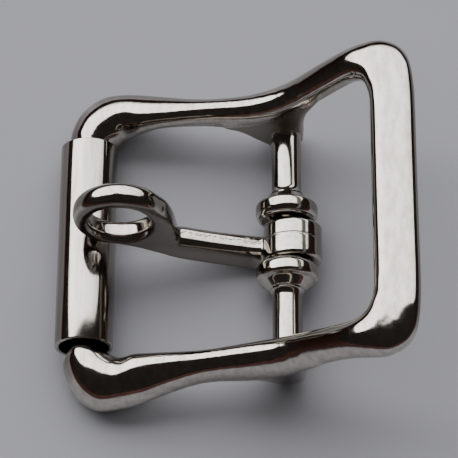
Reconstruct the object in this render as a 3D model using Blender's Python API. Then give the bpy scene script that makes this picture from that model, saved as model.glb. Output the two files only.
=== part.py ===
"""Locking-tongue roller buckle for a 25 mm strap: a cast frame, a sheet roller and a tongue with a ring eye.

Metres, +Z up. The buckle lies on the plane Z = 0 as it does on a table: on its roller and on the two ears
of its crossbar, with the keeper end in the air. The origin is on that plane, below the middle of the
buckle. The strap runs along X, so the frame is the same on both sides of the plane Y = 0.
"""
from math import cos, pi, radians, sin

import bmesh
import bpy
from mathutils import Matrix, Vector

MM = 0.001

# Roller: a plain sheet tube, loose on the frame's left bar
ROLLER_X = -16.63
ROLLER_RADIUS = 3.25
ROLLER_WALL = 0.5
ROLLER_LENGTH = 24.4
ROLLER_SIDES = 40

# Crossbar, which the tongue turns on, with a collar on each side of the tongue's hub
CROSSBAR_X = 5.87
CROSSBAR_Z = 3.6
CROSSBAR_RADIUS = 1.7
CROSSBAR_END = 14.8
COLLAR_RADIUS = 3.5
COLLAR_FACE = 2.65
COLLAR_WIDTH = 2.1
CROSSBAR_SIDES = 28

# Frame: one closed bar, thick at the roller, low along the sides, rising to the flat keeper bar
BAR_RADIUS = 2.1
BAR_X = ROLLER_X + 0.2
BAR_Z = ROLLER_RADIUS - 0.2
CORNER_X = -18.95
KEEPER_INNER_X = 14.95
KEEPER_OUTER_X = 19.9
KEEPER_TOP = 18.7
KEEPER_BOTTOM = 15.5
KEEPER_Y = 18.45
KEEPER_SQUARE = 3.3
FRAME_SIDES = 20
FRAME_STEPS = 3
SECTION_MIDDLE = 0.45
FLATNESS = 0.0235

# Ears: webs from the side bars down to the ends of the crossbar
EAR_INNER_Y = 13.5
EAR_OUTER_Y = 15.5
EAR_DRAFT = 0.2
EAR_RIGHT_X = 7.9
EAR_FOOT = (5.6, 2.35)
EAR_FOOT_RADIUS = 2.3
EAR_BEVEL = 0.5

# Tongue: a hub round the crossbar, a sloping shank and a standing ring eye
HUB_X = CROSSBAR_X + 0.65
HUB_Z = 3.2
HUB_RADIUS_X = 3.3
HUB_RADIUS_Z = 3.1
HUB_WIDTH = 4.5
HUB_BEVEL = 0.35
HUB_BORE = 2.3
HUB_BORE_SHIFT = (0.23, -0.17)
HUB_SIDES = 36
SHANK_SIDES = 16
SHANK_SQUARE = 4.0
SHANK_DRAFT = 0.35
SHANK_STEPS = 2
RING_X = -12.4
RING_Z = 10.85
RING_RADIUS = 5.1
RING_HOLE = 3.3
RING_HOLE_DROP = 0.2
RING_HOLE_FLARE = 0.45
RING_THICKNESS = 2.8
RING_BEVEL = 1.0
RING_LEAN = 5.5
RING_SIDES = 36
RING_ARC = (38.0, 236.0)


def clear_scene():
    for obj in list(bpy.data.objects):
        bpy.data.objects.remove(obj, do_unlink=True)


def plated_metal(name, colour, roughness):
    """A Principled material for polished plating."""
    material = bpy.data.materials.new(name)
    material.use_nodes = True
    shader = material.node_tree.nodes["Principled BSDF"]
    shader.inputs["Base Color"].default_value = (*colour, 1.0)
    shader.inputs["Metallic"].default_value = 1.0
    shader.inputs["Roughness"].default_value = roughness
    return material


def new_object(name, mesh_builder, location=(0.0, 0.0, 0.0)):
    """An object from a bmesh in part millimetres, with its origin at location."""
    mesh = bpy.data.meshes.new(name)
    origin = Vector(location)
    bmesh.ops.translate(mesh_builder, verts=mesh_builder.verts, vec=-origin)
    bmesh.ops.scale(mesh_builder, verts=mesh_builder.verts, vec=(MM, MM, MM))
    bmesh.ops.recalc_face_normals(mesh_builder, faces=mesh_builder.faces)
    mesh_builder.to_mesh(mesh)
    mesh_builder.free()
    mesh.shade_smooth()
    mesh.set_sharp_from_angle(angle=radians(35))
    obj = bpy.data.objects.new(name, mesh)
    obj.location = origin * MM
    bpy.context.collection.objects.link(obj)
    return obj


def loft(rings, closed):
    """A bmesh skinned over rings of points; a closed loft joins its last ring to its first."""
    build = bmesh.new()
    rows = [[build.verts.new(point) for point in ring] for ring in rings]
    count = len(rows[0])
    pairs = list(zip(rows, rows[1:]))
    if closed:
        pairs.append((rows[-1], rows[0]))
    for first, second in pairs:
        for k in range(count):
            n = (k + 1) % count
            build.faces.new((first[k], first[n], second[n], second[k]))
    if not closed:
        build.faces.new(rows[0][::-1])
        build.faces.new(rows[-1])
    return build


def smooth_rows(rows, steps, closed):
    """Rows of numbers with steps - 1 more between each two, on a curve through the given ones."""
    count = len(rows)
    last = count if closed else count - 1
    result = []
    for i in range(last):
        before = rows[(i - 1) % count] if closed else rows[max(i - 1, 0)]
        start = rows[i]
        end = rows[(i + 1) % count]
        after = rows[(i + 2) % count] if closed else rows[min(i + 2, count - 1)]
        for step in range(steps):
            t = step / steps
            result.append(tuple(
                0.5 * (2 * b + (c - a) * t + (2 * a - 5 * b + 4 * c - d) * t * t
                       + (3 * b - a - 3 * c + d) * t ** 3)
                for a, b, c, d in zip(before, start, end, after)))
    if not closed:
        result.append(rows[-1])
    return result


def extruded_outline(points, low_y, high_y, bevel, segments):
    """A plate with its outline in X and Z, its faces at two Y values and its rims rounded."""
    build = bmesh.new()
    verts = [build.verts.new((x, low_y, z)) for x, z in points]
    face = build.faces.new(verts)
    moved = bmesh.ops.extrude_face_region(build, geom=[face])["geom"]
    top = [item for item in moved if isinstance(item, bmesh.types.BMVert)]
    bmesh.ops.translate(build, verts=top, vec=(0.0, high_y - low_y, 0.0))
    rims = [edge for edge in build.edges if edge.verts[0].co.y == edge.verts[1].co.y]
    bmesh.ops.bevel(build, geom=rims, offset=bevel, segments=segments, profile=0.5, affect="EDGES")
    return build


def turned(profile, centre, sides, stretch=(1.0, 1.0)):
    """A solid turned about an axis along Y, from a profile of places along it and radii."""
    x, z = centre
    angles = [2 * pi * k / sides for k in range(sides)]
    return loft([[(x + r * stretch[0] * cos(a), y, z + r * stretch[1] * sin(a)) for a in angles]
                 for y, r in profile], closed=False)


def arc(centre, radius, start, end, count):
    """Points on an arc in X and Z, angles in degrees."""
    return [(centre[0] + radius * cos(radians(start + (end - start) * k / count)),
             centre[1] + radius * sin(radians(start + (end - start) * k / count)))
            for k in range(count + 1)]


def guide(obj):
    """A solid that only takes part in a Boolean."""
    obj.hide_render = True
    obj.display_type = "WIRE"
    return obj


def join_or_cut(obj, other, operation):
    modifier = obj.modifiers.new(other.name, "BOOLEAN")
    modifier.object = other
    modifier.operation = operation
    modifier.solver = "EXACT"


def frame_section(row):
    """The bar's outline in the upright plane through its inner and outer edge points.

    It is a rounded rectangle: squareness 2 gives an ellipse, and a higher one a squarer section with a flat
    top or underside, which FLATNESS makes wider.
    """
    inner_x, inner_y, outer_x, outer_y, bottom, top, top_square, bottom_square = row[:8]
    inner_lean, outer_lean = row[8:]
    middle = bottom + SECTION_MIDDLE * (top - bottom)
    outward = Vector((outer_x - inner_x, outer_y - inner_y)).normalized()
    ring = []
    for k in range(FRAME_SIDES):
        a = 2 * pi * k / FRAME_SIDES
        upper = sin(a) >= 0
        square = top_square if upper else bottom_square
        across = 0.5 + 0.5 * abs(cos(a)) ** (2 / square) * (1 if cos(a) >= 0 else -1)
        level = min(abs(sin(a)) ** (2 / square) / (1 - FLATNESS * (square - 2)), 1.0)
        rise = level * ((top - middle) if upper else (bottom - middle))
        lean = inner_lean + (outer_lean - inner_lean) * across
        shift = lean * rise / (top - bottom)
        ring.append((inner_x + (outer_x - inner_x) * across + outward.x * shift,
                     inner_y + (outer_y - inner_y) * across + outward.y * shift,
                     middle + rise))
    return ring


def frame_loop():
    """The closed bar: one row for each section of the +Y half, from the roller round to the keeper."""
    bar_in = BAR_X + BAR_RADIUS
    bar_out = BAR_X - BAR_RADIUS
    low = BAR_Z - BAR_RADIUS
    high = BAR_Z + BAR_RADIUS
    # inner x, inner y, outer x, outer y, bottom, top, squareness of the top, of the bottom,
    # how far the top stands outside the bottom at the inner edge, at the outer edge
    half = [
        (bar_in, 0.0, bar_out, 0.0, low, high, 2.0, 2.0, 0.0, 0.0),
        (bar_in, 8.0, bar_out, 8.0, low, high, 2.0, 2.0, 0.0, 0.0),
        (bar_in, 12.1, bar_out, 12.1, low, high, 2.0, 2.0, 0.0, 0.0),
        (-13.95, 12.8, CORNER_X + 0.3, 12.9, 0.45, 5.2, 2.0, 2.0, 0.0, 0.0),
        (-13.35, 13.1, CORNER_X, 14.1, 0.15, 5.3, 2.0, 2.0, -0.3, -0.3),
        (-12.95, 13.45, -18.2, 16.4, 0.05, 5.5, 2.0, 2.1, -0.9, -0.7),
        (-12.5, 13.7, -16.8, 18.1, 0.1, 5.65, 2.0, 2.2, -1.3, -1.1),
        (-11.9, 13.75, -15.0, 19.05, 0.4, 5.9, 2.0, 2.3, -1.7, -1.4),
        (-11.0, 13.9, -12.7, 19.05, 1.1, 6.4, 2.1, 2.4, -2.1, -1.6),
        (-9.6, 14.05, -10.2, 18.6, 2.1, 6.75, 2.0, 2.8, -2.1, -1.5),
        (-8.0, 14.1, -8.2, 18.05, 3.0, 7.05, 2.0, 3.0, -1.8, -1.1),
        (-3.3, 14.0, -3.3, 17.0, 4.0, 7.85, 2.0, 3.4, -0.95, -0.2),
        (1.7, 13.5, 1.7, 16.95, 4.4, 9.05, 2.0, 3.8, -0.8, -0.2),
        (5.7, 13.45, 5.7, 17.3, 6.6, 11.1, 1.9, 3.2, -0.45, -0.3),
        (9.7, 13.95, 9.5, 17.6, 10.5, 14.6, 2.1, 3.2, 0.0, 0.0),
        (12.4, 14.3, 12.2, 17.95, 12.9, 17.0, 2.2, 3.2, -0.3, 0.0),
        (13.6, 14.1, 14.3, 18.3, 14.2, 17.9, 2.3, 3.4, -0.8, 0.0),
        (14.15, 13.7, 16.3, KEEPER_Y, 14.95, 18.3, 2.4, 3.6, -0.9, 0.0),
        (14.5, 13.1, 18.15, 17.65, KEEPER_BOTTOM - 0.1, 18.5, 2.6, 4.0, -0.8, 0.0),
        (14.75, 12.3, 19.25, 16.2, KEEPER_BOTTOM, 18.6, 2.8, 4.0, -0.5, 0.0),
        (KEEPER_INNER_X, 11.2, 19.7, 14.1, KEEPER_BOTTOM, KEEPER_TOP, KEEPER_SQUARE, 4.0, -0.3, 0.0),
        (KEEPER_INNER_X, 9.6, KEEPER_OUTER_X, 10.9, KEEPER_BOTTOM, KEEPER_TOP, KEEPER_SQUARE, 4.0, 0.0, 0.0),
        (KEEPER_INNER_X, 5.0, KEEPER_OUTER_X, 5.5, KEEPER_BOTTOM, KEEPER_TOP, KEEPER_SQUARE, 4.0, 0.0, 0.0),
        (KEEPER_INNER_X, 0.0, KEEPER_OUTER_X, 0.0, KEEPER_BOTTOM, KEEPER_TOP, KEEPER_SQUARE, 4.0, 0.0, 0.0),
    ]
    other = [(xi, -yi, xo, -yo, *rest) for xi, yi, xo, yo, *rest in half[-2:0:-1]]
    rows = smooth_rows(half + other, FRAME_STEPS, closed=True)
    return loft([frame_section(row) for row in rows], closed=True)


def crossbar():
    """The turned bar between the ears: a collar and a flared cone on each side of the hub."""
    rim = COLLAR_FACE + COLLAR_WIDTH
    # distance from the middle, radius
    half = [
        (0.0, CROSSBAR_RADIUS),
        (COLLAR_FACE - 0.02, CROSSBAR_RADIUS),
        (COLLAR_FACE, COLLAR_RADIUS - 0.8),
        (COLLAR_FACE + 0.12, COLLAR_RADIUS - 0.4),
        (COLLAR_FACE + 0.55, COLLAR_RADIUS - 0.08),
        (rim - 1.1, COLLAR_RADIUS),
        (rim - 0.4, COLLAR_RADIUS),
        (rim - 0.1, COLLAR_RADIUS - 0.25),
        (rim, COLLAR_RADIUS - 0.6),
        (rim + 0.5, COLLAR_RADIUS - 1.05),
        (rim + 1.1, CROSSBAR_RADIUS + 0.3),
        (rim + 1.9, CROSSBAR_RADIUS),
        (CROSSBAR_END, CROSSBAR_RADIUS),
    ]
    profile = [(-y, r) for y, r in half[:0:-1]] + half[1:]
    return turned(profile, (CROSSBAR_X, CROSSBAR_Z), CROSSBAR_SIDES)


def ear(side):
    """A web whose top is inside the side bar and whose foot is round the crossbar's end."""
    # x, z, from the side bar down the left edge, round the foot and up the right edge
    left = [(9.9, 12.6), (5.7, 9.2), (1.7, 7.2), (-1.6, 6.4), (-1.4, 5.3), (0.6, 4.3), (2.2, 2.6)]
    right = [(EAR_RIGHT_X, 3.4), (EAR_RIGHT_X, 6.6), (8.3, 8.7), (9.1, 10.4)]
    outline = left + arc(EAR_FOOT, EAR_FOOT_RADIUS, 235.0, 345.0, 7) + right
    low, high = sorted((side * EAR_INNER_Y, side * EAR_OUTER_Y))
    build = extruded_outline(outline, low, high, EAR_BEVEL, 2)
    middle = (EAR_INNER_Y + EAR_OUTER_Y) / 2
    for vert in build.verts:
        if vert.co.y * side > middle:
            vert.co.y += side * EAR_DRAFT * vert.co.z
    return build


def build_frame():
    frame = new_object("frame", frame_loop())
    frame.data.materials.append(plated_metal("nickel plated zinc", (0.62, 0.6, 0.57), 0.1))
    bar = guide(new_object("crossbar_solid", crossbar()))
    join_or_cut(frame, bar, "UNION")
    for name, side in (("ear_solid_a", 1), ("ear_solid_b", -1)):
        join_or_cut(frame, guide(new_object(name, ear(side))), "UNION")
    return frame


def build_roller():
    """A tube: its wall goes out along the bore and back along the outside."""
    end = ROLLER_LENGTH / 2
    inner = ROLLER_RADIUS - ROLLER_WALL
    ends = [(inner, -end), (inner, end), (ROLLER_RADIUS, end), (ROLLER_RADIUS, -end)]
    angles = [2 * pi * k / ROLLER_SIDES for k in range(ROLLER_SIDES)]
    rings = [[(ROLLER_X + r * cos(a), y, ROLLER_RADIUS + r * sin(a)) for a in angles] for r, y in ends]
    roller = new_object("roller", loft(rings, closed=True), (ROLLER_X, 0.0, ROLLER_RADIUS))
    roller.data.materials.append(plated_metal("nickel plated steel", (0.64, 0.62, 0.59), 0.12))
    return roller


def shank():
    """The tongue's bar from inside the hub to inside the ring's foot: flat sides, narrower at the top."""
    # x, height of the middle, half width, half height
    table = [
        (4.6, 1.75, 1.6, 1.4),
        (2.6, 2.0, 1.65, 1.5),
        (1.2, 2.4, 1.65, 1.5),
        (-2.4, 3.6, 1.6, 1.5),
        (-6.0, 5.05, 1.6, 1.5),
        (-9.5, 6.35, 1.3, 1.3),
        (-11.5, 7.1, 1.0, 1.0),
    ]
    rings = []
    for x, z, wide, high in smooth_rows(table, SHANK_STEPS, closed=False):
        ring = []
        for k in range(SHANK_SIDES):
            a = 2 * pi * k / SHANK_SIDES
            across = abs(cos(a)) ** (2 / SHANK_SQUARE) * (1 if cos(a) >= 0 else -1)
            level = abs(sin(a)) ** (2 / SHANK_SQUARE) * (1 if sin(a) >= 0 else -1)
            ring.append((x, wide * across * (1 - SHANK_DRAFT * level), z + high * level))
        rings.append(ring)
    return loft(rings, closed=False)


def ring_eye():
    """A round plate with a hole, its right side running straight down into the shank."""
    centre = (RING_X, RING_Z)
    outline = arc(centre, RING_RADIUS, *RING_ARC, RING_SIDES * 5 // 9)
    # x, z, from the arc's lower end along the shank and up the right side
    outline += [(-13.2, 6.05), (-10.4, 4.95), (-7.4, 3.8), (-6.0, 4.2), (-6.1, 6.4), (-6.3, 8.6)]
    outline += [(-6.65, 10.8), (-7.35, 12.6)]
    half = RING_THICKNESS / 2
    return extruded_outline(outline, -half, half, RING_BEVEL, 3)


def ring_hole():
    """The hole's cutter, flared at both faces as a cast eye's hole is."""
    half = RING_THICKNESS / 2
    # place along the axis, radius
    profile = [
        (-half - RING_HOLE_FLARE, RING_HOLE + 2 * RING_HOLE_FLARE),
        (-half + 0.15, RING_HOLE + RING_HOLE_FLARE),
        (-half + 0.7, RING_HOLE),
    ]
    profile += [(-y, r) for y, r in profile[::-1]]
    return turned(profile, (RING_X, RING_Z - RING_HOLE_DROP), RING_SIDES)


def build_tongue():
    axis = (CROSSBAR_X, 0.0, CROSSBAR_Z)
    half = HUB_WIDTH / 2
    edge = 1 - HUB_BEVEL / HUB_RADIUS_Z
    # place along the hub, share of its radius
    hub_half = [(half - HUB_BEVEL, 1.0), (half - HUB_BEVEL * 0.3, 1 - (1 - edge) * 0.3), (half, edge)]
    hub_profile = [(-y, r) for y, r in hub_half[::-1]] + hub_half
    hub = turned(hub_profile, (HUB_X, HUB_Z), HUB_SIDES, (HUB_RADIUS_X, HUB_RADIUS_Z))
    tongue = new_object("tongue", hub, axis)
    tongue.data.materials.append(plated_metal("nickel plated zinc tongue", (0.62, 0.6, 0.57), 0.1))
    join_or_cut(tongue, guide(new_object("shank_solid", shank())), "UNION")
    eye = guide(new_object("ring_solid", ring_eye()))
    hole = guide(new_object("ring_hole", ring_hole()))
    foot = Vector((0.0, 0.0, (RING_Z - RING_RADIUS) * MM))
    lean = Matrix.Translation(foot) @ Matrix.Rotation(radians(-RING_LEAN), 4, "X") @ Matrix.Translation(-foot)
    eye.matrix_world = lean
    hole.matrix_world = lean
    join_or_cut(tongue, eye, "UNION")
    join_or_cut(tongue, hole, "DIFFERENCE")
    bore_centre = (CROSSBAR_X + HUB_BORE_SHIFT[0], CROSSBAR_Z + HUB_BORE_SHIFT[1])
    bore = turned([(-HUB_WIDTH, HUB_BORE), (HUB_WIDTH, HUB_BORE)], bore_centre, HUB_SIDES)
    join_or_cut(tongue, guide(new_object("bore_cutter", bore)), "DIFFERENCE")
    return tongue


clear_scene()
build_frame()
build_roller()
build_tongue()
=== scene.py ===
from math import cos, pi, radians, sin

import bpy
from mathutils import Matrix, Vector


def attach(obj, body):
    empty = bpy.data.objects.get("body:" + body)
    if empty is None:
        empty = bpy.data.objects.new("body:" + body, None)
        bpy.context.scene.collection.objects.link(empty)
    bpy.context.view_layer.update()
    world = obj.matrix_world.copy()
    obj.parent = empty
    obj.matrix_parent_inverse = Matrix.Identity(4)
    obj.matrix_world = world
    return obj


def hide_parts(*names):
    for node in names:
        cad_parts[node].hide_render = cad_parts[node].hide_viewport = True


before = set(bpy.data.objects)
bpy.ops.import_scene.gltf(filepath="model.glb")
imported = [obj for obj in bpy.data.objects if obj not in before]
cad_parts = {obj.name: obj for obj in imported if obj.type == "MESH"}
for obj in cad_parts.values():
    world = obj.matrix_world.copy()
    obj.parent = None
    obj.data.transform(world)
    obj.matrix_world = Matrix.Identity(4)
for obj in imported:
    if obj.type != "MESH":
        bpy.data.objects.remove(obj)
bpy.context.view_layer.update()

# The table top: a plain pale matt card that the buckle lies on, roller and ears down. It is wide enough that
# the plating mirrors it down to the buckle's undersides. Well outside the picture its colour darkens into
# painted shade, standing in for the light falling off away from the lamps, and that draws the dark edges of
# the tall parts.
TABLE_HALF = 0.45
TABLE_COLOUR = "#9f9fa5"
TABLE_PAINTED_SHADE_COLOUR = "#3a3532"
TABLE_PAINTED_SHADE_FADE = (0.07, 0.22)
TABLE_ROUGHNESS = 0.9
TABLE_SPECULAR = 0.2
# a Mix node's own numbers for its two colours and for the mixed one
MIX_FIRST = 6
MIX_SECOND = 7
MIX_RESULT = 2


def linear(hex_colour):
    """The linear colour that Blender wants, from an sRGB hex value."""
    values = [int(hex_colour[i:i + 2], 16) / 255 for i in (1, 3, 5)]
    return (*[v / 12.92 if v <= 0.04045 else ((v + 0.055) / 1.055) ** 2.4 for v in values], 1.0)


def add_node(tree, kind, inputs=None, **settings):
    """Adds a shader node with its settings; an input that is given a socket is linked to it."""
    node = tree.nodes.new("ShaderNode" + kind)
    for name, value in settings.items():
        setattr(node, name, value)
    for key, value in (inputs or {}).items():
        if isinstance(value, bpy.types.NodeSocket):
            tree.links.new(value, node.inputs[key])
        else:
            node.inputs[key].default_value = value
    return node


bpy.ops.object.select_all(action="DESELECT")
bpy.ops.mesh.primitive_plane_add(size=2 * TABLE_HALF)
table = bpy.context.object
table.name = "table_top"
card = bpy.data.materials.new("matt pale card")
card.use_nodes = True
tree = card.node_tree
card_shader = tree.nodes["Principled BSDF"]
card_shader.inputs["Roughness"].default_value = TABLE_ROUGHNESS
card_shader.inputs["Specular IOR Level"].default_value = TABLE_SPECULAR
place = add_node(tree, "TexCoord").outputs["Object"]
distance = add_node(tree, "VectorMath", {0: place}, operation="LENGTH")
# painted shade: the card's colour goes dark with distance from the buckle
fade = add_node(tree, "MapRange", {
    "Value": distance.outputs["Value"], "From Min": TABLE_PAINTED_SHADE_FADE[0], "From Max": TABLE_PAINTED_SHADE_FADE[1]},
    interpolation_type="SMOOTHSTEP")
card_with_painted_shade = add_node(tree, "Mix", {
    "Factor": fade.outputs["Result"], MIX_FIRST: linear(TABLE_COLOUR), MIX_SECOND: linear(TABLE_PAINTED_SHADE_COLOUR)},
    data_type="RGBA")
tree.links.new(card_with_painted_shade.outputs[MIX_RESULT], card_shader.inputs["Base Color"])
table.data.materials.append(card)

# The studio: one big softbox behind and above the buckle, oval below and squarer above. Its mirror image
# is the white band along every rounded top, sharp toward the zenith and fading toward the horizon. A dim
# overhead fill with no mirror image opens the shadows, and a low red-brown rim colours the flanks.
STUDIO_SIDES = 96
SOFTBOX_DISTANCE = 1.5
SOFTBOX_TILT = 45.2
SOFTBOX_SHIFT = -0.05
SOFTBOX_SIZE = (4.1, 1.81)
SOFTBOX_UPPER_SQUARE = 3.5
SOFTBOX_STRENGTH = 3.4
SOFTBOX_LEFT_GAIN = 1.3
SOFTBOX_RIGHT_GAIN = 0.55
SOFTBOX_FADE = (-0.98, -0.45)
FILL_HEIGHT = 0.7
FILL_SIZE = 0.8
FILL_POWER = 1.6
RIM_RADIUS = 0.44
RIM_HEIGHT = 0.085
RIM_COLOUR = "#5c3631"
RIM_ROUGHNESS = 0.8
ROOM_COLOUR = "#4a4441"
ROOM_STRENGTH = 0.4


def squarer(value, square):
    """A sine or cosine for an oval with fuller corners: square is 2 on an ellipse and more on a box."""
    return abs(value) ** (2 / square) * (1 if value >= 0 else -1)


tilt = radians(SOFTBOX_TILT)
towards_softbox = Vector((SOFTBOX_SHIFT, sin(tilt), cos(tilt))).normalized()
bpy.ops.object.select_all(action="DESELECT")
bpy.ops.mesh.primitive_circle_add(vertices=STUDIO_SIDES, radius=1, fill_type="NGON")
softbox = bpy.context.object
softbox.name = "softbox"
for vertex in softbox.data.vertices:
    if vertex.co.y > 0:
        vertex.co.x = squarer(vertex.co.x, SOFTBOX_UPPER_SQUARE)
        vertex.co.y = squarer(vertex.co.y, SOFTBOX_UPPER_SQUARE)
softbox.location = towards_softbox * SOFTBOX_DISTANCE
softbox.rotation_euler = towards_softbox.to_track_quat("Z", "Y").to_euler()
softbox.scale = (SOFTBOX_SIZE[0] / 2, SOFTBOX_SIZE[1] / 2, 1.0)
softbox.visible_camera = False
diffuser = bpy.data.materials.new("lit diffuser cloth")
diffuser.use_nodes = True
tree = diffuser.node_tree
tree.nodes.remove(tree.nodes["Principled BSDF"])
place = add_node(tree, "SeparateXYZ", {"Vector": add_node(tree, "TexCoord").outputs["Object"]})
fade = add_node(tree, "MapRange", {
    "Value": place.outputs["Y"], "From Min": SOFTBOX_FADE[0], "From Max": SOFTBOX_FADE[1]},
    interpolation_type="SMOOTHSTEP")
sideways = add_node(tree, "MapRange", {
    "Value": place.outputs["X"], "From Min": -1.0, "From Max": 1.0,
    "To Min": SOFTBOX_RIGHT_GAIN, "To Max": SOFTBOX_LEFT_GAIN})
gain = add_node(tree, "Math", {
    0: fade.outputs["Result"], 1: sideways.outputs["Result"]}, operation="MULTIPLY")
strength = add_node(tree, "Math", {0: gain.outputs["Value"], 1: SOFTBOX_STRENGTH}, operation="MULTIPLY")
glow = add_node(tree, "Emission", {"Strength": strength.outputs["Value"]})
tree.links.new(glow.outputs["Emission"], tree.nodes["Material Output"].inputs["Surface"])
softbox.data.materials.append(diffuser)

bpy.ops.object.light_add(type="AREA", location=(0.0, 0.0, FILL_HEIGHT))
fill = bpy.context.object
fill.name = "overhead_fill"
fill.data.size = FILL_SIZE
fill.data.energy = FILL_POWER
fill.visible_camera = False
fill.visible_glossy = False

bpy.ops.object.select_all(action="DESELECT")
bpy.ops.mesh.primitive_cylinder_add(
    vertices=STUDIO_SIDES, radius=RIM_RADIUS, depth=RIM_HEIGHT, end_fill_type="NOTHING",
    location=(0.0, 0.0, RIM_HEIGHT / 2))
rim = bpy.context.object
rim.name = "red_brown_furniture"
rim.visible_camera = False
rim_paint = bpy.data.materials.new("red-brown wood")
rim_paint.use_nodes = True
rim_shader = rim_paint.node_tree.nodes["Principled BSDF"]
rim_shader.inputs["Base Color"].default_value = linear(RIM_COLOUR)
rim_shader.inputs["Roughness"].default_value = RIM_ROUGHNESS
rim.data.materials.append(rim_paint)

room = bpy.data.worlds.new("dark room")
room.use_nodes = True
room.node_tree.nodes["Background"].inputs["Color"].default_value = linear(ROOM_COLOUR)
room.node_tree.nodes["Background"].inputs["Strength"].default_value = ROOM_STRENGTH
bpy.context.scene.world = room

# The camera: a long lens 0.26 m from the buckle, tilted back 25 degrees from straight down, so that it sees
# the near side bar's outer flank and the far one's inner face.
CAMERA_PLACE = (0.0061614, -0.1067287, 0.2404204)
CAMERA_TURN = (24.638, 1.575, 0.151)
CAMERA_LENS = 182.22
CAMERA_SENSOR = 36.0
CAMERA_NEAREST = 0.01

bpy.ops.object.camera_add(location=CAMERA_PLACE, rotation=[radians(a) for a in CAMERA_TURN])
camera = bpy.context.object
camera.data.lens = CAMERA_LENS
camera.data.sensor_width = CAMERA_SENSOR
camera.data.clip_start = CAMERA_NEAREST
bpy.context.scene.camera = camera

# The frame's casting: one closed bar of pressure-cast zinc, thick at the roller, low along the sides and
# rising to the flat keeper bar, with a web down to each end of the crossbar. It is cast with soft fillets,
# tumbled smooth and nickel plated. It is modelled in millimetres, and the finished mesh is made metres.
MM = 0.001
BAR_RADIUS = 2.1
BAR_X = -16.43
BAR_Z = 3.05
CORNER_X = -18.95
KEEPER_INNER_X = 14.95
KEEPER_OUTER_X = 19.9
KEEPER_TOP = 18.7
KEEPER_BOTTOM = 15.5
KEEPER_Y = 18.45
KEEPER_SQUARE = 3.3
SECTION_SIDES = 40
SECTION_STEPS = 3
SECTION_MIDDLE = 0.45
FLATNESS = 0.0235
EAR_INNER_Y = 13.5
EAR_OUTER_Y = 15.5
EAR_DRAFT = 0.2
EAR_FOOT = (5.6, 2.35)
EAR_FOOT_RADIUS = 2.3
EAR_FOOT_ARC = (235.0, 345.0)
EAR_FOOT_STEPS = 12
EAR_BEVEL = 0.5
EAR_BEVEL_STEPS = 3
OUTLINE_STEPS = 2
CAST_VOXEL = 0.18
CAST_SMOOTHING = 10
SMOOTHING_FACTOR = 0.5
TOUCHING = 0.001


def smooth_rows(rows, steps, closed=False):
    """Rows of numbers with steps - 1 more between each two, on a curve through the given ones."""
    count = len(rows)
    last = count if closed else count - 1
    result = []
    for i in range(last):
        before = rows[(i - 1) % count] if closed else rows[max(i - 1, 0)]
        start = rows[i]
        end = rows[(i + 1) % count]
        after = rows[(i + 2) % count] if closed else rows[min(i + 2, count - 1)]
        for step in range(steps):
            t = step / steps
            result.append(tuple(
                0.5 * (2 * b + (c - a) * t + (2 * a - 5 * b + 4 * c - d) * t * t
                       + (3 * b - a - 3 * c + d) * t ** 3)
                for a, b, c, d in zip(before, start, end, after)))
    if not closed:
        result.append(rows[-1])
    return result


def arc(centre, radius, start, end, count):
    """Points on an arc in X and Z, angles in degrees."""
    return [(centre[0] + radius * cos(radians(start + (end - start) * k / count)),
             centre[1] + radius * sin(radians(start + (end - start) * k / count)))
            for k in range(count + 1)]


def set_places(piece, places):
    """Puts the mesh's points at their places, in the order that the primitives made them."""
    for vertex, place in zip(piece.data.vertices, places):
        vertex.co = place


def skin(name, rings, closed=False):
    """A circle primitive for each section, its points set on the section, and all of them bridged."""
    sides = len(rings[0])
    bpy.ops.object.select_all(action="DESELECT")
    bpy.ops.mesh.primitive_circle_add(vertices=sides, radius=1)
    piece = bpy.context.object
    piece.name = name
    bpy.ops.object.mode_set(mode="EDIT")
    for _ in rings[1:]:
        bpy.ops.mesh.primitive_circle_add(vertices=sides, radius=1)
    bpy.ops.object.mode_set(mode="OBJECT")
    set_places(piece, [place for ring in rings for place in ring])
    bpy.ops.object.mode_set(mode="EDIT")
    bpy.ops.mesh.select_all(action="SELECT")
    bpy.ops.mesh.bridge_edge_loops(type="CLOSED" if closed else "SINGLE")
    if not closed:
        bpy.ops.mesh.fill_holes(sides=0)
    bpy.ops.mesh.select_all(action="SELECT")
    bpy.ops.mesh.normals_make_consistent(inside=False)
    bpy.ops.object.mode_set(mode="OBJECT")
    return piece


def plate(name, outline, low, high, bevel, segments):
    """A filled outline in X and Z, extruded along Y, with both rims bevelled round."""
    bpy.ops.object.select_all(action="DESELECT")
    bpy.ops.mesh.primitive_circle_add(vertices=len(outline), radius=1, fill_type="NGON")
    piece = bpy.context.object
    piece.name = name
    set_places(piece, [(x, low, z) for x, z in outline])
    bpy.ops.object.mode_set(mode="EDIT")
    bpy.ops.mesh.select_all(action="SELECT")
    bpy.ops.mesh.extrude_region_move(TRANSFORM_OT_translate={"value": (0.0, high - low, 0.0)})
    bpy.ops.mesh.select_all(action="SELECT")
    bpy.ops.mesh.normals_make_consistent(inside=False)
    bpy.ops.mesh.select_all(action="DESELECT")
    bpy.ops.object.mode_set(mode="OBJECT")
    for edge in piece.data.edges:
        first, second = (piece.data.vertices[i].co for i in edge.vertices)
        edge.select = abs(first.y - second.y) < TOUCHING
    bpy.ops.object.mode_set(mode="EDIT")
    bpy.ops.mesh.select_mode(type="EDGE")
    bpy.ops.mesh.bevel(offset=bevel, segments=segments, profile=0.5, affect="EDGES")
    bpy.ops.mesh.select_mode(type="VERT")
    bpy.ops.object.mode_set(mode="OBJECT")
    return piece


def make_active(piece):
    """Selects the piece and nothing else."""
    bpy.ops.object.select_all(action="DESELECT")
    piece.select_set(True)
    bpy.context.view_layer.objects.active = piece


def apply_modifier(piece, kind, **settings):
    """Adds a modifier with its settings and applies it."""
    make_active(piece)
    modifier = piece.modifiers.new(kind.lower(), kind)
    for name, value in settings.items():
        setattr(modifier, name, value)
    bpy.ops.object.modifier_apply(modifier=modifier.name)


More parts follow.
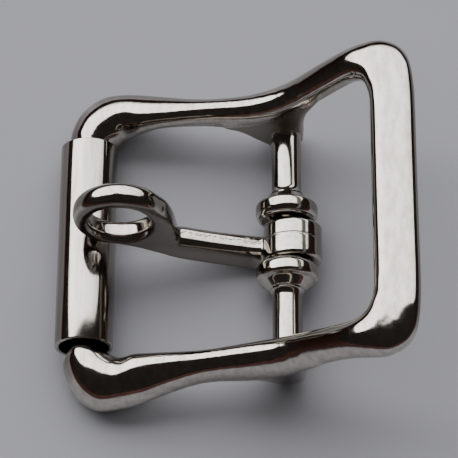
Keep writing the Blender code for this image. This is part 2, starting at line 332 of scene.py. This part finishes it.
def combine(piece, other, operation):
    """Joins or cuts with another piece, which is then used up."""
    apply_modifier(piece, "BOOLEAN", object=other, operation=operation, solver="EXACT")
    make_active(other)
    bpy.ops.object.delete()


def frame_section(row):
    """The bar's outline in the upright plane through its inner and outer edge points."""
    inner_x, inner_y, outer_x, outer_y, bottom, top, top_square, bottom_square = row[:8]
    inner_lean, outer_lean = row[8:]
    middle = bottom + SECTION_MIDDLE * (top - bottom)
    outward = Vector((outer_x - inner_x, outer_y - inner_y)).normalized()
    ring = []
    for k in range(SECTION_SIDES):
        a = 2 * pi * k / SECTION_SIDES
        upper = sin(a) >= 0
        square = top_square if upper else bottom_square
        across = 0.5 + 0.5 * squarer(cos(a), square)
        level = min(abs(squarer(sin(a), square)) / (1 - FLATNESS * (square - 2)), 1.0)
        rise = level * ((top - middle) if upper else (bottom - middle))
        lean = inner_lean + (outer_lean - inner_lean) * across
        shift = lean * rise / (top - bottom)
        ring.append((inner_x + (outer_x - inner_x) * across + outward.x * shift,
                     inner_y + (outer_y - inner_y) * across + outward.y * shift,
                     middle + rise))
    return ring


bar_in = BAR_X + BAR_RADIUS
bar_out = BAR_X - BAR_RADIUS
bar_low = BAR_Z - BAR_RADIUS
bar_high = BAR_Z + BAR_RADIUS
# inner x, inner y, outer x, outer y, bottom, top, squareness of the top, of the bottom,
# how far the top stands outside the bottom at the inner edge, at the outer edge
bar_sections = [
    (bar_in, 0.0, bar_out, 0.0, bar_low, bar_high, 2.0, 2.0, 0.0, 0.0),
    (bar_in, 8.0, bar_out, 8.0, bar_low, bar_high, 2.0, 2.0, 0.0, 0.0),
    (bar_in, 12.1, bar_out, 12.1, bar_low, bar_high, 2.0, 2.0, 0.0, 0.0),
    (-13.95, 12.8, CORNER_X + 0.3, 12.9, 0.45, 5.2, 2.0, 2.0, 0.0, 0.0),
    (-13.35, 13.1, CORNER_X, 14.1, 0.15, 5.3, 2.0, 2.0, -0.3, -0.3),
    (-12.95, 13.45, -18.2, 16.4, 0.05, 5.5, 2.0, 2.1, -0.9, -0.7),
    (-12.5, 13.7, -16.8, 18.1, 0.1, 5.65, 2.0, 2.2, -1.3, -1.1),
    (-11.9, 13.75, -15.0, 19.05, 0.4, 5.9, 2.0, 2.3, -1.7, -1.4),
    (-11.0, 13.9, -12.7, 19.05, 1.1, 6.4, 2.1, 2.4, -2.1, -1.6),
    (-9.6, 14.05, -10.2, 18.6, 2.1, 6.75, 2.0, 2.8, -2.1, -1.5),
    (-8.0, 14.1, -8.2, 18.05, 3.0, 7.05, 2.0, 3.0, -1.8, -1.1),
    (-3.3, 14.0, -3.3, 17.0, 4.0, 7.85, 2.0, 3.4, -0.95, -0.2),
    (1.7, 13.5, 1.7, 16.95, 4.4, 9.05, 2.0, 3.8, -0.8, -0.2),
    (5.7, 13.45, 5.7, 17.3, 6.6, 11.1, 1.9, 3.2, -0.45, -0.3),
    (9.7, 13.95, 9.5, 17.6, 10.5, 14.6, 2.1, 3.2, 0.0, 0.0),
    (12.4, 14.3, 12.2, 17.95, 12.9, 17.0, 2.2, 3.2, -0.3, 0.0),
    (13.6, 14.1, 14.3, 18.3, 14.2, 17.9, 2.3, 3.4, -0.8, 0.0),
    (14.15, 13.7, 16.3, KEEPER_Y, 14.95, 18.3, 2.4, 3.6, -0.9, 0.0),
    (14.5, 13.1, 18.15, 17.65, KEEPER_BOTTOM - 0.1, 18.5, 2.6, 4.0, -0.8, 0.0),
    (14.75, 12.3, 19.25, 16.2, KEEPER_BOTTOM, 18.6, 2.8, 4.0, -0.5, 0.0),
    (KEEPER_INNER_X, 11.2, 19.7, 14.1, KEEPER_BOTTOM, KEEPER_TOP, KEEPER_SQUARE, 4.0, -0.3, 0.0),
    (KEEPER_INNER_X, 9.6, KEEPER_OUTER_X, 10.9, KEEPER_BOTTOM, KEEPER_TOP, KEEPER_SQUARE, 4.0, 0.0, 0.0),
    (KEEPER_INNER_X, 5.0, KEEPER_OUTER_X, 5.5, KEEPER_BOTTOM, KEEPER_TOP, KEEPER_SQUARE, 4.0, 0.0, 0.0),
    (KEEPER_INNER_X, 0.0, KEEPER_OUTER_X, 0.0, KEEPER_BOTTOM, KEEPER_TOP, KEEPER_SQUARE, 4.0, 0.0, 0.0),
]
mirrored = [(xi, -yi, xo, -yo, *rest) for xi, yi, xo, yo, *rest in bar_sections[-2:0:-1]]
all_sections = smooth_rows(bar_sections + mirrored, SECTION_STEPS, closed=True)
casting = skin("frame_casting", [frame_section(row) for row in all_sections], closed=True)

# x, z of the web, from the side bar down the left edge, round the foot and up the right edge
ear_outline = [(9.9, 12.6), (5.7, 9.2), (1.7, 7.2), (-1.6, 6.4)]
ear_outline += smooth_rows([(-1.4, 5.3), (0.6, 4.3), (2.2, 2.6)], OUTLINE_STEPS)
ear_outline += arc(EAR_FOOT, EAR_FOOT_RADIUS, *EAR_FOOT_ARC, EAR_FOOT_STEPS)
ear_outline += [(7.9, 3.4), (7.9, 6.6), (8.3, 8.7), (9.1, 10.4)]
for side in (1, -1):
    low, high = sorted((side * EAR_INNER_Y, side * EAR_OUTER_Y))
    ear = plate("ear", ear_outline, low, high, EAR_BEVEL, EAR_BEVEL_STEPS)
    for vertex in ear.data.vertices:
        if vertex.co.y * side > (EAR_INNER_Y + EAR_OUTER_Y) / 2:
            vertex.co.y += side * EAR_DRAFT * vertex.co.z
    combine(casting, ear, "UNION")
apply_modifier(casting, "REMESH", mode="VOXEL", voxel_size=CAST_VOXEL)
apply_modifier(casting, "SMOOTH", factor=SMOOTHING_FACTOR, iterations=CAST_SMOOTHING)

# The crossbar, part of the same casting: a round bar with a raised collar and a flared cone on each side
# of the tongue's hub. It was cut crisp in the die, so its collars keep sharper edges than the side bars.
CROSSBAR_X = 5.87
CROSSBAR_Z = 3.6
CROSSBAR_RADIUS = 1.7
CROSSBAR_END = 14.3
CROSSBAR_SIDES = 96
COLLAR_RADIUS = 3.5
COLLAR_FACE = 2.65
COLLAR_WIDTH = 2.1
COLLAR_STEPS = 4


def turned(name, profile, centre, sides, stretch=(1.0, 1.0)):
    """A turned solid about an axis along Y, from a profile of places along it and radii."""
    x, z = centre
    angles = [2 * pi * k / sides for k in range(sides)]
    return skin(name, [[(x + r * stretch[0] * cos(a), y, z + r * stretch[1] * sin(a)) for a in angles]
                       for y, r in profile])


def in_metres(piece):
    """The finished mesh in metres, its object unscaled at the origin."""
    make_active(piece)
    piece.scale = (MM, MM, MM)
    bpy.ops.object.transform_apply(location=True, rotation=True, scale=True)
    bpy.ops.object.shade_smooth()


collar_rim = COLLAR_FACE + COLLAR_WIDTH
# distance from the middle, radius
collar_profile = [
    (0.0, CROSSBAR_RADIUS),
    (COLLAR_FACE - 0.02, CROSSBAR_RADIUS),
    (COLLAR_FACE, COLLAR_RADIUS - 0.8),
    (COLLAR_FACE + 0.12, COLLAR_RADIUS - 0.4),
    (COLLAR_FACE + 0.55, COLLAR_RADIUS - 0.08),
    (collar_rim - 1.1, COLLAR_RADIUS),
    (collar_rim - 0.4, COLLAR_RADIUS),
    (collar_rim - 0.1, COLLAR_RADIUS - 0.25),
    (collar_rim, COLLAR_RADIUS - 0.6),
    (collar_rim + 0.5, COLLAR_RADIUS - 1.05),
    (collar_rim + 1.1, CROSSBAR_RADIUS + 0.3),
    (collar_rim + 1.9, CROSSBAR_RADIUS),
    (CROSSBAR_END, CROSSBAR_RADIUS),
]
collar_profile = smooth_rows(collar_profile, COLLAR_STEPS)
crossbar_profile = [(-y, r) for y, r in collar_profile[:0:-1]] + collar_profile[1:]
crossbar = turned("crossbar", crossbar_profile, (CROSSBAR_X, CROSSBAR_Z), CROSSBAR_SIDES)
combine(casting, crossbar, "UNION")
in_metres(casting)

# Nickel plate on tumbled zinc: mirror bright and slightly warm. The eye sees reflections that wander over the
# ripple of the casting, faint polishing streaks, satin grey on the webs, the insides of the side bars and the
# speckled parting line, which no tumbling stone reached. Flanks that face left, right or back get painted
# shade, a grey darkening of the plate's colour that stands in for their darker reflections.
PLATE_COLOUR = "#cfcac2"
TARNISH_COLOUR = "#b0a9a0"
# painted shade: the grey that the plate's colour is darkened toward on flanks that face away from the front
PAINTED_SHADE_COLOUR = "#857f78"
PLATE_ROUGHNESS = 0.09
ROUGHNESS_SPREAD = (0.8, 1.3)
DULL_ROUGHNESS = 0.34
# Lengths in metres, set against the photo and not measured. A pixel of the front view is 0.11 mm, and
# real pits and polishing marks are taken to be finer, so the grain and the streaks are drawn coarser.
RIPPLE_LENGTH = 0.0016
RIPPLE_HEIGHT = 0.000008
RIPPLE_RANGE = (0.3, 0.7)
GRAIN_LENGTH = 0.00025
GRAIN_RANGE = (0.42, 0.6)
STREAK_WIDTH = 0.0007
STREAK_RANGE = (0.4, 0.66)
STREAK_DEPTH = 0.85
FRAME_STREAKS = 3.0
SEAM_DEPTH = 0.00003
# The rows of bar_sections that are a side bar, and in millimetres where it is dull and how wide its parting
# line is. The first number of each pair is where there is none of it, and the second where there is all.
SIDE_ROWS = slice(7, 16)
SIDE_INNER_Y = (12.9, 13.4)
SIDE_END_X = (14.0, 12.5)
BELOW_SEAM = (-0.1, 0.5)
SEAM_WIDTH = (0.32, 0.08)
# Parts of a face's normal, again from none to all.
DULL_FACING = (-0.3, 0.3)
SEAM_FACING = (0.3, 0.6)
# painted shade falls on faces that look left, right or back, and not on those that look to the front
PAINTED_SHADE_FACING = (0.35, 0.85)
PAINTED_SHADE_NOT_FRONT = (-0.6, -0.1)


def bright_plate(name, colour, ripple, streak):
    """Bright nickel plate, with polishing streaks along Y that are streak times as long as they are wide.

    The mesh's attribute dull makes it satin, seam speckles its parting line, and painted_shade darkens it
    with painted shade.
    """
    material = bpy.data.materials.new(name)
    material.use_nodes = True
    tree = material.node_tree
    shader = tree.nodes["Principled BSDF"]
    shader.inputs["Metallic"].default_value = 1.0
    place = add_node(tree, "TexCoord").outputs["Object"]
    along = add_node(tree, "Mapping", {"Vector": place, "Scale": (1.0, 1 / streak, 1.0)}).outputs["Vector"]
    grain = add_node(tree, "TexNoise", {"Vector": place, "Scale": 1 / GRAIN_LENGTH, "Detail": 3.0})
    waves = add_node(tree, "TexNoise", {"Vector": place, "Scale": 1 / RIPPLE_LENGTH, "Detail": 2.0})
    polish = add_node(tree, "TexNoise", {
        "Vector": along, "Scale": 1 / STREAK_WIDTH, "Detail": 5.0, "Roughness": 0.65})
    dull = add_node(tree, "Attribute", attribute_name="dull")
    seam = add_node(tree, "Attribute", attribute_name="seam")
    painted_shade = add_node(tree, "Attribute", attribute_name="painted_shade")

    speckle = add_node(tree, "MapRange", {
        "Value": grain.outputs["Fac"], "From Min": GRAIN_RANGE[0], "From Max": GRAIN_RANGE[1]})
    line = add_node(tree, "Math", {
        0: seam.outputs["Fac"], 1: speckle.outputs["Result"]}, operation="MULTIPLY")
    worn = add_node(tree, "Math", {
        0: dull.outputs["Fac"], 1: line.outputs["Value"]}, operation="MAXIMUM")
    base = add_node(tree, "MapRange", {
        "Value": waves.outputs["Fac"], "From Min": RIPPLE_RANGE[0], "From Max": RIPPLE_RANGE[1],
        "To Min": PLATE_ROUGHNESS * ROUGHNESS_SPREAD[0], "To Max": PLATE_ROUGHNESS * ROUGHNESS_SPREAD[1]})
    rough = add_node(tree, "MapRange", {
        "Value": worn.outputs["Value"], "To Min": base.outputs["Result"], "To Max": DULL_ROUGHNESS})
    tree.links.new(rough.outputs["Result"], shader.inputs["Roughness"])

    streaks = add_node(tree, "MapRange", {
        "Value": polish.outputs["Fac"], "From Min": STREAK_RANGE[0], "From Max": STREAK_RANGE[1],
        "To Max": STREAK_DEPTH})
    greyed = add_node(tree, "Math", {
        0: worn.outputs["Value"], 1: streaks.outputs["Result"]}, operation="MAXIMUM")
    tinted = add_node(tree, "Mix", {
        "Factor": greyed.outputs["Value"], MIX_FIRST: linear(colour), MIX_SECOND: linear(TARNISH_COLOUR)},
        data_type="RGBA")
    # painted shade: the plate's colour mixed toward a grey by the painted_shade attribute
    painted_shaded = add_node(tree, "Mix", {
        "Factor": painted_shade.outputs["Fac"], MIX_FIRST: tinted.outputs[MIX_RESULT],
        MIX_SECOND: linear(PAINTED_SHADE_COLOUR)}, data_type="RGBA")
    tree.links.new(painted_shaded.outputs[MIX_RESULT], shader.inputs["Base Color"])

    rippled = add_node(tree, "Bump", {"Height": waves.outputs["Fac"], "Distance": ripple})
    grooved = add_node(tree, "Bump", {
        "Height": seam.outputs["Fac"], "Distance": SEAM_DEPTH, "Normal": rippled.outputs["Normal"]},
        invert=True)
    pitted = add_node(tree, "Bump", {
        "Height": grain.outputs["Fac"], "Strength": worn.outputs["Value"], "Distance": ripple,
        "Normal": grooved.outputs["Normal"]})
    tree.links.new(pitted.outputs["Normal"], shader.inputs["Normal"])
    return material


def smooth_step(low, high, value):
    """0 below low, 1 above high and a soft ramp between."""
    t = min(max((value - low) / (high - low), 0.0), 1.0)
    return t * t * (3 - 2 * t)


def set_attribute(piece, label, values):
    """Stores a number for each point of the mesh, for the piece's material."""
    piece.data.attributes.new(label, "FLOAT", "POINT").data.foreach_set("value", values)


def painted_shade_on(normal):
    """How much painted shade lies on a face: most where it looks left, right or back, where the reflections
    are darker.
    """
    return (smooth_step(*PAINTED_SHADE_FACING, max(abs(normal.x), normal.y))
            * smooth_step(*PAINTED_SHADE_NOT_FRONT, normal.y))


seam_rows = sorted((row[0], row[4] + SECTION_MIDDLE * (row[5] - row[4])) for row in bar_sections[SIDE_ROWS])


def seam_height(x):
    """The height of the side bar's widest line at a place along it, where the die halves met."""
    for (first_x, first_z), (last_x, last_z) in zip(seam_rows, seam_rows[1:]):
        if x <= last_x:
            return first_z + (last_z - first_z) * (x - first_x) / (last_x - first_x)
    return seam_rows[-1][1]


dull_values = []
seam_values = []
for vertex in casting.data.vertices:
    x, y, z = vertex.co / MM
    inward = -vertex.normal.y * (1 if y > 0 else -1)
    on_side = smooth_step(*SIDE_INNER_Y, abs(y)) * smooth_step(*SIDE_END_X, abs(x))
    below = smooth_step(*BELOW_SEAM, seam_height(x) - z)
    on_line = smooth_step(*SEAM_WIDTH, abs(z - seam_height(x)))
    dull_values.append(on_side * below * smooth_step(*DULL_FACING, inward))
    seam_values.append(on_side * smooth_step(*SEAM_FACING, inward) * on_line)
set_attribute(casting, "dull", dull_values)
set_attribute(casting, "seam", seam_values)
# painted shade on the frame's flanks
set_attribute(casting, "painted_shade", [painted_shade_on(vertex.normal) for vertex in casting.data.vertices])

casting.data.materials.clear()
casting.data.materials.append(
    bright_plate("nickel plated zinc casting", PLATE_COLOUR, RIPPLE_HEIGHT, FRAME_STREAKS))
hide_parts("frame")
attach(casting, "frame")

# The roller: a strip of steel sheet rolled to a tube, its ends tumbled round, bright nickel plated. It turns
# loose on the frame's front bar, so that the strap runs over it without rubbing. Sheet is flatter than a
# casting, so its ripple is less, and its polishing streaks are long.
ROLLER_X = -16.63
ROLLER_RADIUS = 3.25
ROLLER_WALL = 0.5
ROLLER_LENGTH = 24.4
ROLLER_SIDES = 128
ROLLER_CUTS = 3
ROLLER_END_ROUND = 0.14
ROLLER_END_STEPS = 4
ROLLER_END_ANGLE = 60.0
ROLLER_COLOUR = "#d2cdc6"
ROLLER_RIPPLE = 0.000002
ROLLER_STREAKS = 12.0

bpy.ops.object.select_all(action="DESELECT")
bpy.ops.mesh.primitive_cylinder_add(
    vertices=ROLLER_SIDES, radius=ROLLER_RADIUS, depth=ROLLER_LENGTH, end_fill_type="NOTHING",
    location=(ROLLER_X, 0.0, ROLLER_RADIUS), rotation=(radians(90.0), 0.0, 0.0))
roller = bpy.context.object
roller.name = "roller_tube"
bpy.ops.object.transform_apply(location=True, rotation=True, scale=True)
bpy.ops.object.mode_set(mode="EDIT")
bpy.ops.mesh.select_all(action="SELECT")
bpy.ops.mesh.subdivide(number_cuts=ROLLER_CUTS)
bpy.ops.object.mode_set(mode="OBJECT")
apply_modifier(roller, "SOLIDIFY", thickness=ROLLER_WALL, offset=-1.0)
apply_modifier(roller, "BEVEL", width=ROLLER_END_ROUND, segments=ROLLER_END_STEPS, limit_method="ANGLE",
               angle_limit=radians(ROLLER_END_ANGLE))
in_metres(roller)
# painted shade on the roller's flanks
set_attribute(roller, "painted_shade", [painted_shade_on(vertex.normal) for vertex in roller.data.vertices])
roller.data.materials.clear()
roller.data.materials.append(
    bright_plate("nickel plated steel sheet", ROLLER_COLOUR, ROLLER_RIPPLE, ROLLER_STREAKS))
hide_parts("roller")
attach(roller, "roller")

# The tongue: a second zinc casting, with a hub round the crossbar, a sloping shank and a standing ring eye
# that is probably for a small padlock or split ring. It is cast, tumbled and plated as the frame is.
HUB_X = CROSSBAR_X + 0.65
HUB_Z = 3.2
HUB_RADIUS_X = 3.3
HUB_RADIUS_Z = 3.1
HUB_WIDTH = 4.5
HUB_BEVEL = 0.35
HUB_BEVEL_MIDDLE = 0.3
HUB_BORE = 2.3
HUB_BORE_SHIFT = (0.23, -0.17)
HUB_SIDES = 96
SHANK_SIDES = 48
SHANK_STEPS = 4
SHANK_SQUARE = 4.0
SHANK_DRAFT = 0.35
RING_X = -12.4
RING_Z = 10.85
RING_RADIUS = 5.1
RING_ARC = (38.0, 236.0)
RING_ARC_STEPS = 60
RING_THICKNESS = 2.8
RING_BEVEL = 1.0
RING_BEVEL_STEPS = 5
RING_LEAN = 5.5
RING_HOLE = 3.3
RING_HOLE_SIDES = 96
RING_HOLE_DROP = 0.2
RING_HOLE_FLARE = 0.3
RING_HOLE_EDGE = 0.15
RING_HOLE_DEPTH = 0.7
TONGUE_VOXEL = 0.13
TONGUE_SMOOTHING = 10
RING_SMOOTHING = 40
RING_SMOOTHING_X = (-7.0, -8.0)

hub_half = HUB_WIDTH / 2
hub_edge = 1 - HUB_BEVEL / HUB_RADIUS_Z
# place along the hub, share of its radius
hub_profile = [
    (hub_half - HUB_BEVEL, 1.0),
    (hub_half - HUB_BEVEL * HUB_BEVEL_MIDDLE, 1 - (1 - hub_edge) * HUB_BEVEL_MIDDLE),
    (hub_half, hub_edge),
]
hub_profile = [(-y, r) for y, r in hub_profile[::-1]] + hub_profile
tongue = turned("tongue_casting", hub_profile, (HUB_X, HUB_Z), HUB_SIDES, (HUB_RADIUS_X, HUB_RADIUS_Z))

# x, height of the middle, half width, half height
shank_table = [
    (4.6, 1.75, 1.6, 1.4),
    (2.6, 2.0, 1.65, 1.5),
    (1.2, 2.4, 1.65, 1.5),
    (-2.4, 3.6, 1.6, 1.5),
    (-6.0, 5.05, 1.6, 1.5),
    (-9.5, 6.35, 1.3, 1.3),
    (-11.5, 7.1, 1.0, 1.0),
]
shank_rings = []
for x, z, wide, tall in smooth_rows(shank_table, SHANK_STEPS):
    shank_ring = []
    for k in range(SHANK_SIDES):
        a = 2 * pi * k / SHANK_SIDES
        across = squarer(cos(a), SHANK_SQUARE)
        level = squarer(sin(a), SHANK_SQUARE)
        shank_ring.append((x, wide * across * (1 - SHANK_DRAFT * level), z + tall * level))
    shank_rings.append(shank_ring)
shank = skin("shank", shank_rings)
combine(tongue, shank, "UNION")

ring_outline = arc((RING_X, RING_Z), RING_RADIUS, *RING_ARC, RING_ARC_STEPS)
# x, z, from the arc's lower end along the shank and up the right side
ring_outline += [(-13.2, 6.05), (-10.4, 4.95), (-7.4, 3.8), (-6.0, 4.2)]
ring_outline += smooth_rows([(-6.1, 6.4), (-6.3, 8.6), (-6.65, 10.8), (-7.35, 12.6)], OUTLINE_STEPS)
ring_half = RING_THICKNESS / 2
ring = plate("ring_eye", ring_outline, -ring_half, ring_half, RING_BEVEL, RING_BEVEL_STEPS)
# place along the hole's axis, radius
hole_profile = [
    (-ring_half - RING_HOLE_FLARE, RING_HOLE + 2 * RING_HOLE_FLARE),
    (-ring_half + RING_HOLE_EDGE, RING_HOLE + RING_HOLE_FLARE),
    (-ring_half + RING_HOLE_DEPTH, RING_HOLE),
]
hole_profile += [(-y, r) for y, r in hole_profile[::-1]]
hole = turned("ring_hole", hole_profile, (RING_X, RING_Z - RING_HOLE_DROP), RING_HOLE_SIDES)
ring_foot = Vector((0.0, 0.0, RING_Z - RING_RADIUS))
lean = Matrix.Rotation(radians(-RING_LEAN), 4, "X")
for leaning in (ring, hole):
    make_active(leaning)
    leaning.matrix_world = Matrix.Translation(ring_foot) @ lean @ Matrix.Translation(-ring_foot)
    bpy.ops.object.transform_apply(location=True, rotation=True, scale=True)
combine(tongue, ring, "UNION")
combine(tongue, hole, "DIFFERENCE")
bore_centre = (CROSSBAR_X + HUB_BORE_SHIFT[0], CROSSBAR_Z + HUB_BORE_SHIFT[1])
bore = turned("hub_bore", [(-HUB_WIDTH, HUB_BORE), (HUB_WIDTH, HUB_BORE)], bore_centre, HUB_SIDES)
combine(tongue, bore, "DIFFERENCE")
apply_modifier(tongue, "REMESH", mode="VOXEL", voxel_size=TONGUE_VOXEL)
apply_modifier(tongue, "SMOOTH", factor=SMOOTHING_FACTOR, iterations=TONGUE_SMOOTHING)
# the ring was tumbled rounder than the rest
ring_group = tongue.vertex_groups.new(name="ring")
for vertex in tongue.data.vertices:
    ring_group.add([vertex.index], smooth_step(*RING_SMOOTHING_X, vertex.co.x), "REPLACE")
apply_modifier(tongue, "SMOOTH", factor=SMOOTHING_FACTOR, iterations=RING_SMOOTHING, vertex_group="ring")
in_metres(tongue)

# The tongue's plating: the frame's, with a fine wandering parting line along the top of the hub and the
# shank, and a satin front on the shank and the ring that also gets full painted shade, darker as the flanks
# are. Places are in millimetres, from none to all.
TONGUE_SEAM_Y = 0.25
TONGUE_SEAM_WIDTH = (0.2, 0.06)
TONGUE_SEAM_X = (-7.5, -6.8)
# size, rate and start of each wave of the parting line, which is straight on the hub
SEAM_WAVES = ((0.07, 2.3, 0.0), (0.04, 7.1, 1.0))
STRAIGHT_SEAM_X = 3.0
FRONT_END_X = (3.2, 1.5)
FRONT_FACING = (0.5, 0.9)
FRONT_DULLNESS = 0.5
TONGUE_STREAKS = 1.0

tongue_dull = []
tongue_seam = []
tongue_painted_shade = []
for vertex in tongue.data.vertices:
    x, y, z = vertex.co / MM
    wander = sum(size * sin(rate * x + start) for size, rate, start in SEAM_WAVES)
    if x > STRAIGHT_SEAM_X:
        wander = 0.0
    on_line = smooth_step(*TONGUE_SEAM_WIDTH, abs(y - TONGUE_SEAM_Y - wander))
    upward = smooth_step(*SEAM_FACING, vertex.normal.z)
    # the front of the shank and the ring: half satin, and full painted shade
    front = smooth_step(*FRONT_END_X, x) * smooth_step(*FRONT_FACING, -vertex.normal.y)
    tongue_seam.append(smooth_step(*TONGUE_SEAM_X, x) * upward * on_line)
    tongue_dull.append(FRONT_DULLNESS * front)
    # painted shade on the flanks and on the front
    tongue_painted_shade.append(max(front, painted_shade_on(vertex.normal)))
set_attribute(tongue, "dull", tongue_dull)
set_attribute(tongue, "seam", tongue_seam)
set_attribute(tongue, "painted_shade", tongue_painted_shade)

tongue.data.materials.clear()
tongue.data.materials.append(
    bright_plate("nickel plated zinc tongue", PLATE_COLOUR, RIPPLE_HEIGHT, TONGUE_STREAKS))
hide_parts("tongue")
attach(tongue, "tongue")
